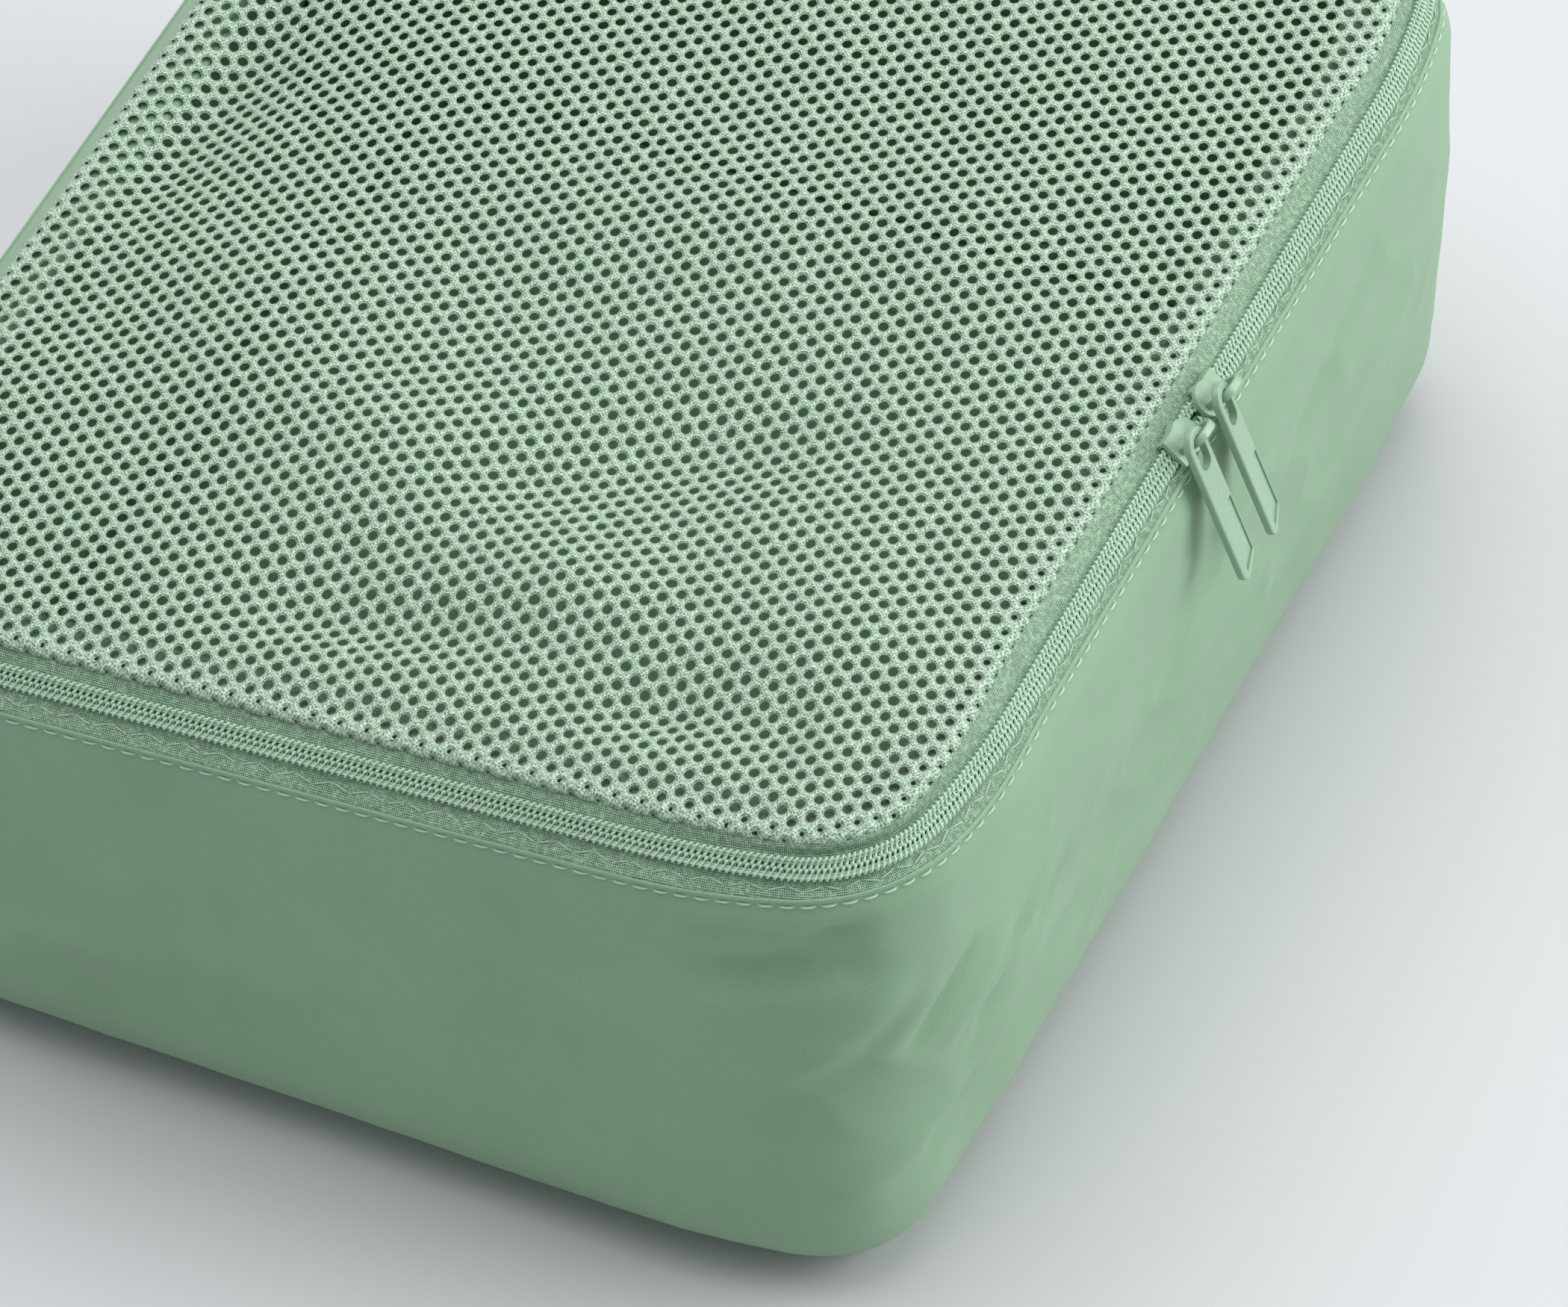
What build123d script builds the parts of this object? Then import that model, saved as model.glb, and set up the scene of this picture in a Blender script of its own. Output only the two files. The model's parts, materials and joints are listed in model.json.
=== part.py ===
"""Packing cube: a soft zipped box with a mesh lid, two zipper sliders and two pull tabs.

Frame: millimetres, origin at the centre of the underside, +X right along the front,
+Y to the back along the long zipped side, +Z up. The lid hinges on the long left side.
"""

import os
from math import cos, radians, sin, sqrt

from build123d import *

os.makedirs("parts", exist_ok=True)

# ---- driving dimensions of the body ----
width = 218.0  # X, outer face to outer face
length = 262.0  # Y, outer face to outer face
hinge_height = 79.0  # top edge of the left wall
lid_tilt = 5.0  # the filled cube stands a little taller on its right, degrees
corner_radius = 27.0  # plan radius of the four corners
side_radius = 150.0  # plan radius where the full sides swell towards the corners
side_turn = 11.0  # how far each swelling arc turns, degrees
fabric = 1.0  # doubled wall cloth
bottom_bevel = 9.0  # the wall cloth turns in under the contents
hinge_half = 92.0  # half the length of cloth left unzipped on the left side
sewing_gap = 0.4  # room between cloth that moves and cloth that stays

# ---- zipper, measured along and across the sloping shoulder ----
shoulder = 45.0  # slope of the tapes, degrees
shoulder_inset = 0.3  # how far the tape starts inside the wall face
tape_thickness = 0.6
coil_height = 1.1
coil_width = 1.5
coil_gap = 1.0  # free way between the two coils, where the slider's post runs
coil_lift = 0.05
chain_middle = 6.5  # from the wall's fold up the slope to the middle of the chain
upper_tape_end = 11.5
gusset_end = 11.5

# ---- lid cloth ----
mesh_inset = 7.6
mesh_level = 8.45  # above the fold
mesh_thickness = 1.2
lid_binding_width = 4.0
lid_binding_inset = 11.0
binding_thickness = 1.2

# ---- slider ----
slider_pair_middle = -3.5  # Y of the point where the two sliders meet
slider_spacing = 11.7
slider_half_length = 4.15
plate_thickness = 0.9
running_gap = 0.3
flange = 0.55
post_width = 0.5
bridge_width = 1.5
bridge_thickness = 0.8
bridge_span = 5.2  # between the middles of its two legs
bridge_clear_height = 5.1  # under the strap
bridge_shift = -0.6  # towards the wall
bridge_outer_radius = 2.2
bridge_inner_radius = 1.4
nose_flare = 0.4  # how much wider the nose is than the tail, on each side

# ---- pull tab ----
pull_width = 6.0
pull_thickness = 1.5
pull_reach = 31.0  # from the bridge's leg to the tip
eye_radius = 1.75
eye_length = 3.8
eye_height = 3.6  # above the slider's plate
pull_lean = 15.0  # out from straight down, over the shoulder, degrees
pull_slant = 3.0  # along the side, degrees
pull_edge = 0.4  # rounding along its edges
tip_slant = 4.0  # the tip's far corner stands this much higher
tip_radius = 1.6
recess_depth = 0.35
recess_start = 0.45  # share of the pull's reach
recess_left_share = 0.42  # shares of the pull's half width
recess_right_share = 0.84
recess_chamfer = 3.2
recess_chamfer_side = 1.4
recess_border = 0.8

half_width = width / 2
half_length = length / 2
root2 = sqrt(2)
turn = radians(side_turn)
straight_y = half_length - side_radius * (sin(turn) + 1 - cos(turn)) - corner_radius * (cos(turn) - sin(turn))
left_bow_x = -half_width + side_radius * sin(turn) + corner_radius * (1 - sin(turn))

tilt = radians(lid_tilt)
lid_plane = Plane(
    origin=(-half_width + half_width * cos(tilt), 0, hinge_height + half_width * sin(tilt)),
    x_dir=(cos(tilt), 0, sin(tilt)),
    z_dir=(-sin(tilt), 0, cos(tilt)),
)


def plan_half(inset):
    """Add the back half of the plan outline, a set distance inside the outer wall face."""
    side = side_radius - inset
    corner = corner_radius - inset
    right = half_width - inset
    swell = Line((right, 0), (right, straight_y))
    into_corner = JernArc(swell @ 1, (0, 1), side, side_turn)
    round_corner = JernArc(into_corner @ 1, into_corner % 1, corner, 90 - 2 * side_turn)
    out_of_corner = JernArc(round_corner @ 1, round_corner % 1, side, side_turn)
    back = Line(out_of_corner @ 1, (left_bow_x, (out_of_corner @ 1).Y))
    into_left = JernArc(back @ 1, (-1, 0), side, side_turn)
    left_corner = JernArc(into_left @ 1, into_left % 1, corner, 90 - side_turn)
    return left_corner


def plan_face(inset, mode=Mode.ADD):
    """Add the closed plan face to the sketch in hand, or cut it away."""
    with BuildLine() as outline:
        left_corner = plan_half(inset)
        Line(left_corner @ 1, (-half_width + inset, 0))
        mirror(about=Plane.XZ)
    make_face(outline.edges(), mode=mode)


def plan_ring(outer_inset, ring_width):
    """Add a ring that follows the plan outline."""
    plan_face(outer_inset)
    plan_face(outer_inset + ring_width, mode=Mode.SUBTRACT)


def slope_point(along, above):
    """Inset and height of a point on the shoulder: along the slope, and above its surface."""
    return (shoulder_inset + (along - above) / root2, (along + above) / root2)


def slope_profile(start, end, low, high):
    """Add the cross-section of a strip of the shoulder, seen along the zipper."""
    corners = [(start, low), (end, low), (end, high), (start, high)]
    Polygon(*[slope_point(along, above) for along, above in corners], align=None)


# the cross-section stands at the back end of the route, looking along it
section_plane = Plane(
    origin=lid_plane.from_local_coords((-half_width, hinge_half, 0)),
    x_dir=lid_plane.x_dir,
    z_dir=-lid_plane.y_dir,
)


def shoulder_strip(start, end, low, high):
    """Sweep a strip of the shoulder round three sides and onto both ends of the left side."""
    with BuildLine(lid_plane) as zipped_route:
        left_corner = plan_half(0)
        Line(left_corner @ 1, (-half_width, hinge_half))
        mirror(about=Plane.XZ)
    with BuildSketch(section_plane) as profile:
        slope_profile(start, end, low, high)
    sweep(profile.sketch, path=zipped_route.wire())


def export(part, name):
    part.label = name
    export_step(part, f"parts/{name}.step")


# ================= case =================

bevel_thickness = fabric * root2  # the same cloth, measured level
bottom_inset = bottom_bevel + bevel_thickness

with BuildPart() as bottom_panel:
    with BuildSketch():
        plan_face(bottom_inset)
    extrude(amount=fabric)
export(bottom_panel.part, "bottom_panel")

seam_allowance = 6.0
with BuildPart() as bottom_seam_binding:
    with BuildSketch(Plane.XY.offset(fabric)):
        plan_ring(bottom_inset, binding_thickness)
    extrude(amount=seam_allowance)
export(bottom_seam_binding.part, "bottom_seam_binding")


def bevel_block(inset, mode):
    """Add or cut the block under the walls whose sides slope in towards the bottom."""
    with BuildSketch(Plane.XY.offset(bottom_bevel)) as upper:
        plan_face(inset)
    with BuildSketch() as lower:
        plan_face(inset + bottom_bevel)
    loft([lower.sketch, upper.sketch], ruled=True, mode=mode)


wall_blank_height = 1.5 * hinge_height  # cut back to the lid's slope

with BuildPart() as wall_ring:
    bevel_block(0, Mode.ADD)
    bevel_block(bevel_thickness, Mode.SUBTRACT)
    with BuildSketch(Plane.XY.offset(bottom_bevel)):
        plan_ring(0, fabric)
    extrude(amount=wall_blank_height)
    split(bisect_by=lid_plane, keep=Keep.BOTTOM)

with BuildPart() as hinge_zone:
    with Locations((-half_width, 0, 0)):
        Box(4 * bottom_bevel, 2 * hinge_half, 3 * hinge_height)

with BuildPart() as wall_band:
    add(wall_ring.part)
    add(hinge_zone.part, mode=Mode.SUBTRACT)
export(wall_band.part, "wall_band")

with BuildPart() as hinge_panel:
    add(wall_ring.part)
    add(hinge_zone.part, mode=Mode.INTERSECT)
export(hinge_panel.part, "hinge_panel")

side_binding_width = 8.0
side_binding_height = hinge_height - bottom_bevel - seam_allowance
with BuildPart() as side_seam_bindings:
    binding_x = -half_width + fabric + binding_thickness / 2
    binding_z = bottom_bevel + side_binding_height / 2
    with Locations((binding_x, -hinge_half, binding_z), (binding_x, hinge_half, binding_z)):
        Box(binding_thickness, side_binding_width, side_binding_height)
export(side_seam_bindings.part, "side_seam_bindings")

with BuildPart() as hinge_seam_binding:
    with Locations((binding_x, 0, hinge_height - seam_allowance)):
        Box(binding_thickness, 2 * hinge_half - 2 * side_binding_width, seam_allowance)
export(hinge_seam_binding.part, "hinge_seam_binding")

with BuildPart() as lower_zipper_tape:
    shoulder_strip(tape_thickness, chain_middle - coil_gap / 2, -tape_thickness, 0)
export(lower_zipper_tape.part, "lower_zipper_tape")

lower_coil_start = chain_middle - coil_gap / 2 - coil_width
with BuildPart() as lower_coil:
    shoulder_strip(lower_coil_start, lower_coil_start + coil_width, coil_lift, coil_lift + coil_height)
export(lower_coil.part, "lower_coil")

# ================= lid =================

with BuildPart() as lid_mesh_panel:
    with BuildSketch(lid_plane.offset(mesh_level)):
        plan_face(mesh_inset)
    extrude(amount=mesh_thickness)
export(lid_mesh_panel.part, "lid_mesh_panel")

with BuildPart() as lid_seam_binding:
    with BuildSketch(lid_plane.offset(mesh_level - binding_thickness)):
        plan_ring(lid_binding_inset, lid_binding_width)
    extrude(amount=binding_thickness)
export(lid_seam_binding.part, "lid_seam_binding")

upper_start = chain_middle + coil_gap / 2
with BuildPart() as upper_zipper_tape:
    shoulder_strip(upper_start, upper_tape_end, -tape_thickness, 0)
export(upper_zipper_tape.part, "upper_zipper_tape")

with BuildPart() as upper_coil:
    shoulder_strip(upper_start, upper_start + coil_width, coil_lift, coil_lift + coil_height)
export(upper_coil.part, "upper_coil")

# the unzipped cloth of the left side, which bends along the top of the left wall
gusset_half = hinge_half - sewing_gap
gusset_plane = section_plane.offset(sewing_gap)
gusset_start = 2 * tape_thickness
with BuildPart() as hinge_gusset:
    with BuildSketch(gusset_plane):
        slope_profile(gusset_start, gusset_end, -tape_thickness, 0)
    extrude(amount=2 * gusset_half)
export(hinge_gusset.part, "hinge_gusset")

tab_length = 10.0
tab_thickness = 0.8
with BuildPart() as zipper_end_tabs:
    for near_end in (0, 2 * gusset_half - tab_length):
        with BuildSketch(gusset_plane.offset(near_end)):
            slope_profile(lower_coil_start, upper_start + coil_width, coil_lift, coil_lift + tab_thickness)
        extrude(amount=tab_length)
export(zipper_end_tabs.part, "zipper_end_tabs")

# ================= sliders and pulls =================

slope_out = radians(shoulder)
plate_bottom = coil_lift + coil_height + running_gap
plate_top = plate_bottom + plate_thickness
lower_wing_top = -tape_thickness - running_gap
tail_half_width = coil_gap / 2 + coil_width + running_gap + flange
nose_half_width = tail_half_width + nose_flare
nose_centre = slider_half_length - nose_half_width


def slider_plane(middle):
    """Plane on the chain: x runs to the back, y up the slope to the lid, z away from the tape."""
    inset, height = slope_point(chain_middle, 0)
    return Plane(
        origin=lid_plane.from_local_coords((half_width - inset, middle, height)),
        x_dir=lid_plane.y_dir,
        z_dir=lid_plane.x_dir * sin(slope_out) + lid_plane.z_dir * cos(slope_out),
    )


def slider_plan(nose):
    """Add the slider's outline: a straight tail and a rounder, wider nose."""
    tail_length = slider_half_length + nose_centre
    with Locations((nose * (nose_centre - tail_length / 2), 0)):
        Rectangle(tail_length, 2 * tail_half_width)
    with Locations((nose * nose_centre, 0)):
        Circle(nose_half_width)


def slider_body(plane, nose):
    """Add the two wings, the side flanges and the post between the two coils."""
    with BuildSketch(plane.offset(plate_bottom)) as upper_wing:
        slider_plan(nose)
    extrude(upper_wing.sketch, amount=plate_thickness)
    with BuildSketch(plane.offset(running_gap)) as flanges:
        slider_plan(nose)
        coil_way(nose)
    extrude(flanges.sketch, amount=plate_bottom - running_gap)
    with BuildSketch(plane.offset(lower_wing_top - plate_thickness)) as lower_wing:
        slider_plan(nose)
    extrude(lower_wing.sketch, amount=plate_thickness)
    with BuildSketch(plane.offset(lower_wing_top)) as post:
        with Locations((nose * slider_half_length / 2, 0)):
            Rectangle(slider_half_length / 2, post_width)
    extrude(post.sketch, amount=plate_bottom - lower_wing_top)


def coil_way(nose):
    """Cut the coils' way out of the flange outline."""
    Rectangle(3 * slider_half_length, 2 * (tail_half_width - flange), mode=Mode.SUBTRACT)
    with Locations((nose * slider_half_length, 0)):
        Rectangle(slider_half_length, 4 * tail_half_width, mode=Mode.SUBTRACT)


def arch(span, height, shoulder_radius, mode):
    """Add or cut a block that stands on the line y = 0, with round upper corners."""
    with BuildLine() as outline:
        FilletPolyline(
            (-span / 2, 0), (-span / 2, height), (span / 2, height), (span / 2, 0), radius=shoulder_radius
        )
        Line((span / 2, 0), (-span / 2, 0))
    make_face(outline.edges(), mode=mode)


def slider_bridge(plane):
    """Add the strap that holds the pull, standing on the slider's upper wing."""
    outer_length = bridge_span + bridge_thickness
    outer_height = bridge_clear_height + bridge_thickness
    bridge_plane = Plane(
        origin=plane.from_local_coords((0, bridge_shift - bridge_width / 2, plate_top)),
        x_dir=plane.x_dir,
        z_dir=-plane.y_dir,
    )
    with BuildSketch(bridge_plane) as strap:
        arch(outer_length, outer_height, bridge_outer_radius, Mode.ADD)
        arch(outer_length - 2 * bridge_thickness, bridge_clear_height, bridge_inner_radius, Mode.SUBTRACT)
    extrude(strap.sketch, amount=-bridge_width)


def pull_plane(plane, face_turn):
    """Plane of a pull's middle: x across it, y up it, z out of its face, at the bridge's leg."""
    leg = plane.from_local_coords((-bridge_span / 2, bridge_shift, plate_top + eye_height))
    lean, slant = radians(pull_lean), radians(pull_slant)
    hang = lid_plane.x_dir * (sin(lean) * cos(slant)) + lid_plane.y_dir * sin(slant)
    hang -= lid_plane.z_dir * (cos(lean) * cos(slant))
    outward = lid_plane.x_dir * cos(lean) + lid_plane.z_dir * sin(lean)
    outward = outward.rotate(Axis((0, 0, 0), hang), face_turn)
    return Plane(origin=leg, x_dir=(-hang).cross(outward), z_dir=outward)


def pull_tab(plane):
    """Add a flat tab with a long eye, a slanted tip and a framed recess on its face."""
    half = pull_width / 2
    tip_corners = [(-half, 0), (-half, -pull_reach), (half, tip_slant - pull_reach), (half, 0)]
    with BuildSketch(plane.offset(-pull_thickness / 2)) as outline:
        Polygon(*tip_corners, align=None)
        fillet(outline.vertices().group_by(Axis.Y)[0], radius=tip_radius)
        Circle(half)
        with Locations((0, -eye_length / 2)):
            SlotCenterToCenter(eye_length, 2 * eye_radius, rotation=90, mode=Mode.SUBTRACT)
    extrude(outline.sketch, amount=pull_thickness)
    across = Axis(plane.origin, plane.z_dir)
    flat_faces = faces().sort_by(across)
    fillet(flat_faces[-1].outer_wire().edges() + flat_faces[0].outer_wire().edges(), radius=pull_edge)
    recess_top = -pull_reach * recess_start
    recess_left = -half * recess_left_share
    recess_right = half * recess_right_share
    recess_corners = [
        (recess_left, recess_top - recess_chamfer),
        (recess_right - recess_chamfer_side, recess_top),
        (recess_right, recess_top),
        (recess_right, tip_slant - pull_reach + recess_border),
        (recess_left, tip_slant / 2 - pull_reach + recess_border),
    ]
    with BuildSketch(plane.offset(pull_thickness / 2)) as recess:
        Polygon(*recess_corners, align=None)
    extrude(recess.sketch, amount=-recess_depth, mode=Mode.SUBTRACT)


front_plane = slider_plane(slider_pair_middle - slider_spacing / 2)
back_plane = slider_plane(slider_pair_middle + slider_spacing / 2)

with BuildPart() as slider_body_front:
    slider_body(front_plane, 1)
export(slider_body_front.part, "slider_body_front")

with BuildPart() as slider_bridge_front:
    slider_bridge(front_plane)
export(slider_bridge_front.part, "slider_bridge_front")

with BuildPart() as pull_tab_front:
    pull_tab(pull_plane(front_plane, 0))
export(pull_tab_front.part, "pull_tab_front")

with BuildPart() as slider_body_back:
    slider_body(back_plane, -1)
export(slider_body_back.part, "slider_body_back")

with BuildPart() as slider_bridge_back:
    slider_bridge(back_plane)
export(slider_bridge_back.part, "slider_bridge_back")

with BuildPart() as pull_tab_back:
    pull_tab(pull_plane(back_plane, -8))
export(pull_tab_back.part, "pull_tab_back")
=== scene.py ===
"""Looks of the packing cube: cloth, mesh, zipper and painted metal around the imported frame.

Lengths in the tables and functions below are millimetres in the row frame; mesh data is
scaled to metres where each piece is made.
"""

import json
import math

import bmesh
import bpy
import numpy as np
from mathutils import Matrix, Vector, noise


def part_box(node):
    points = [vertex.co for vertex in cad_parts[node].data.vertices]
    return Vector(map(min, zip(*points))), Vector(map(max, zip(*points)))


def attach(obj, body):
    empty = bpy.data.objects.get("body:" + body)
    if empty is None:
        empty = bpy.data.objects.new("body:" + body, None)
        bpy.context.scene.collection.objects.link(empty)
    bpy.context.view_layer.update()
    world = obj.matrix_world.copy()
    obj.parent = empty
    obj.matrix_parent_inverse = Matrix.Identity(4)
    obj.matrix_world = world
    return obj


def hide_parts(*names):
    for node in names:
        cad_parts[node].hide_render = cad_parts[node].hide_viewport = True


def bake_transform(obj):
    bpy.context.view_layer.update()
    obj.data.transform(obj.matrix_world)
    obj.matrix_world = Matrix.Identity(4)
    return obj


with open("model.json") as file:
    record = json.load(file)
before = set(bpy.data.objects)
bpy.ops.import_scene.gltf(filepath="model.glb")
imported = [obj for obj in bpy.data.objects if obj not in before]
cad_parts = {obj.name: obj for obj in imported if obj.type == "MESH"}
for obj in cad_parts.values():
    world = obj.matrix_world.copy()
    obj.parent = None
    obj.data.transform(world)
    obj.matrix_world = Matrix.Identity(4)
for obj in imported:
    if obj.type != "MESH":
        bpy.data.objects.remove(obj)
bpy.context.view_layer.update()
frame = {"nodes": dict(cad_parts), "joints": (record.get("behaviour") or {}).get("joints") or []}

MM = 0.001
ROOT2 = math.sqrt(2)

# ---- sizes of the object
_, wall_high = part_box("wall_band")
half_width = wall_high.x / MM
half_length = wall_high.y / MM
joint_places = {joint["name"]: joint.get("pos_m") for joint in frame["joints"]}
hinge_height = joint_places["lid_hinge"][2] / MM
lid_tilt = math.radians(5)
corner_radius = 27.0
side_radius = 150.0
side_turn = math.radians(11)
hinge_half = 92.0
shoulder_inset = 0.3
chain_middle = 6.5
tooth_pitch = 1.19
slider_pair_middle = -3.5
corner_fade = 26.0  # reach along the outline of what only the front right corner has
cloth_thickness = 0.5  # of the tapes, the gusset and the end tabs
topstitch_pitch, topstitch_length = 3.6, 2.9

lid_x = np.array([math.cos(lid_tilt), 0.0, math.sin(lid_tilt)])
lid_y = np.array([0.0, 1.0, 0.0])
lid_z = np.array([-math.sin(lid_tilt), 0.0, math.cos(lid_tilt)])
lid_origin = np.array([-half_width, 0.0, hinge_height]) + half_width * lid_x


# ---- the plan outline
def outline_stretches():
    """Length, curvature, start point and heading of each stretch of the back half outline."""
    sine, cosine = math.sin(side_turn), math.cos(side_turn)
    corner_reach = side_radius * (sine + 1 - cosine) + corner_radius * (cosine - sine)
    straight_right = half_length - corner_reach
    left_bow_x = -half_width + side_radius * sine + corner_radius * (1 - sine)
    straight_back = half_width - corner_reach - left_bow_x
    straight_left = half_length - side_radius * (1 - cosine) - corner_radius * cosine
    bow = side_radius * side_turn
    stretches = [
        (straight_right, 0.0),
        (bow, 1 / side_radius),
        (corner_radius * (math.pi / 2 - 2 * side_turn), 1 / corner_radius),
        (bow, 1 / side_radius),
        (straight_back, 0.0),
        (bow, 1 / side_radius),
        (corner_radius * (math.pi / 2 - side_turn), 1 / corner_radius),
        (straight_left, 0.0),
    ]
    rows = []
    start, x, y, heading = 0.0, half_width, 0.0, math.pi / 2
    for length, curvature in stretches:
        rows.append((start, curvature, x, y, heading))
        after = heading + curvature * length
        if curvature:
            x += (math.sin(after) - math.sin(heading)) / curvature
            y += (math.cos(heading) - math.cos(after)) / curvature
        else:
            x += length * math.cos(heading)
            y += length * math.sin(heading)
        start += length
        heading = after
    return np.array(rows), start


STRETCHES, half_route = outline_stretches()


def route(s):
    """Plan point and outward normal at distance s along the outline.

    s is 0 in the middle of the right side and positive towards the back.
    """
    s = (np.asarray(s, float) + half_route) % (2 * half_route) - half_route
    side = np.where(s < 0, -1.0, 1.0)
    gone = np.abs(s)
    row = STRETCHES[np.clip(np.searchsorted(STRETCHES[:, 0], gone, side="right") - 1, 0, None)]
    start, curvature, x, y, heading = np.moveaxis(row, -1, 0)
    gone = gone - start
    after = heading + curvature * gone
    bend = np.where(curvature == 0, 1.0, curvature)
    dx = np.where(curvature == 0, gone * np.cos(heading), (np.sin(after) - np.sin(heading)) / bend)
    dy = np.where(curvature == 0, gone * np.sin(heading), (np.cos(heading) - np.cos(after)) / bend)
    point = np.stack([x + dx, (y + dy) * side], -1)
    normal = np.stack([np.sin(after), -np.cos(after) * side], -1)
    return point, normal


def on_lid(plan, height):
    """Row-frame point over a plan point of the tilted lid plane."""
    plan = np.asarray(plan, float)
    height = np.asarray(height, float)[..., None]
    return lid_origin + plan[..., :1] * lid_x + plan[..., 1:] * lid_y + height * lid_z


def shoulder(s, along, above=0.0):
    """Row-frame point on the sloping shoulder, along its slope and above its surface."""
    s, along, above = np.broadcast_arrays(np.asarray(s, float), along, above)
    plan, normal = route(s)
    inset = shoulder_inset + (along - above) / ROOT2
    return on_lid(plan - normal * inset[..., None], (along + above) / ROOT2)


def corner_weight(s):
    """1 round the corner between the front and the right side, 0 far from it."""
    corner = STRETCHES[2, 0] + 0.5 * (STRETCHES[3, 0] - STRETCHES[2, 0])
    return bump_at(s, -corner, corner_fade)


def soft_noise(u, v, size, seed):
    """Smooth noise from -1 to 1 over two coordinates, with features about size long."""
    flat_u, flat_v = np.broadcast_arrays(np.asarray(u, float), np.asarray(v, float))
    values = [
        noise.noise((a / size + seed * 7.31, b / size - seed * 3.17, seed * 1.73))
        for a, b in zip(flat_u.ravel(), flat_v.ravel())
    ]
    return np.array(values).reshape(flat_u.shape)


def bump_at(value, middle, width):
    """A smooth bump: 1 at its middle, and almost 0 two widths away."""
    return np.exp(-(((value - middle) / width) ** 2))


def smooth_step(value, low, high):
    """0 up to low, 1 from high on, and a smooth rise between."""
    t = np.clip((np.asarray(value, float) - low) / (high - low), 0, 1)
    return t * t * (3 - 2 * t)


# ---- mesh helpers
def make_piece(name, points, faces, material, uv):
    """Mesh object from points in millimetres; uv holds one pair for each face corner."""
    mesh = bpy.data.meshes.new(name)
    mesh.from_pydata((np.asarray(points) * MM).tolist(), [], faces)
    layer = mesh.uv_layers.new(name="cloth")
    layer.data.foreach_set("uv", np.asarray(uv, np.float32).ravel())
    mesh.polygons.foreach_set("use_smooth", np.full(len(mesh.polygons), True))
    mesh.materials.append(material)
    mesh.update()
    piece = bpy.data.objects.new(name, mesh)
    bpy.context.scene.collection.objects.link(piece)
    return piece


def grid_quads(rows, columns, wrap=False):
    """Vertex numbers of the quads of a grid stored row by row."""
    last = columns if wrap else columns - 1
    r, c = np.meshgrid(np.arange(rows - 1), np.arange(last), indexing="ij")
    r, c = r.ravel(), c.ravel()
    following = (c + 1) % columns
    quads = [r * columns + c, r * columns + following]
    quads += [(r + 1) * columns + following, (r + 1) * columns + c]
    return np.stack(quads, 1)


def grid_normals(points):
    """Unit normals of a grid of points."""
    across = np.gradient(points, axis=1)
    down = np.gradient(points, axis=0)
    normals = np.cross(across, down)
    return normals / np.maximum(np.linalg.norm(normals, axis=-1, keepdims=True), 1e-9)


def cloth_strip(name, points, thickness, material, coordinates):
    """Closed thin cloth whose outer face is a grid of points (rows, columns, 3).

    The other face lies on the side that the grid's normals point away from. coordinates
    holds each grid point's place on the flat cloth.
    """
    rows, columns = points.shape[:2]
    inner = points - grid_normals(points) * thickness
    count = rows * columns
    outer_quads = grid_quads(rows, columns)
    edge = np.concatenate([
        np.arange(columns),
        np.arange(1, rows) * columns + columns - 1,
        (rows - 1) * columns + np.arange(columns - 2, -1, -1),
        np.arange(rows - 2, 0, -1) * columns,
    ])
    following = np.roll(edge, -1)
    rim = np.stack([edge, edge + count, following + count, following], 1)
    quads = np.concatenate([outer_quads, outer_quads[:, ::-1] + count, rim])
    places = np.concatenate([coordinates.reshape(-1, 2)] * 2)
    vertices = np.concatenate([points.reshape(-1, 3), inner.reshape(-1, 3)])
    return make_piece(name, vertices, quads.tolist(), material, places[quads.ravel()])


def tubes(name, paths, frames, radii, material, sides=6):
    """Capped tubes along paths (count, steps, 3); frames holds each point's cross directions."""
    count, steps = paths.shape[:2]
    angles = np.arange(sides) * 2 * math.pi / sides
    first, second = frames
    radii = np.broadcast_to(np.asarray(radii, float), (count, steps))[..., None, None]
    ring = np.cos(angles)[:, None] * first[..., None, :] + np.sin(angles)[:, None] * second[..., None, :]
    vertices = (paths[..., None, :] + ring * radii).reshape(-1, 3)
    one = grid_quads(steps, sides, wrap=True)
    offsets = np.arange(count)[:, None, None] * steps * sides
    quads = (one[None] + offsets).reshape(-1, 4)
    along, around = np.meshgrid(np.arange(steps) / (steps - 1), np.arange(sides) / sides, indexing="ij")
    places = np.tile(np.stack([along, around], -1).reshape(-1, 2), (count, 1))
    faces = quads.tolist()
    for base in range(0, count * steps * sides, steps * sides):
        faces.append([base + i for i in range(sides)][::-1])
        faces.append([base + (steps - 1) * sides + i for i in range(sides)])
    corners = np.concatenate([np.asarray(face) for face in faces])
    return make_piece(name, vertices, faces, material, places[corners])


def seat(piece, body, node, slot, **sheet):
    """Let a piece ride a body in a CAD node's place, and hide that node; the slot and the sheet that a soft
    piece passes are not used.
    """
    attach(piece, body)
    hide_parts(node)


def path_frames(paths, guide):
    """Two unit cross directions for each path point, kept steady by a guide direction."""
    tangents = np.gradient(paths, axis=1)
    tangents /= np.linalg.norm(tangents, axis=-1, keepdims=True)
    first = guide - (guide * tangents).sum(-1, keepdims=True) * tangents
    first /= np.linalg.norm(first, axis=-1, keepdims=True)
    return first, np.cross(tangents, first)


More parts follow.
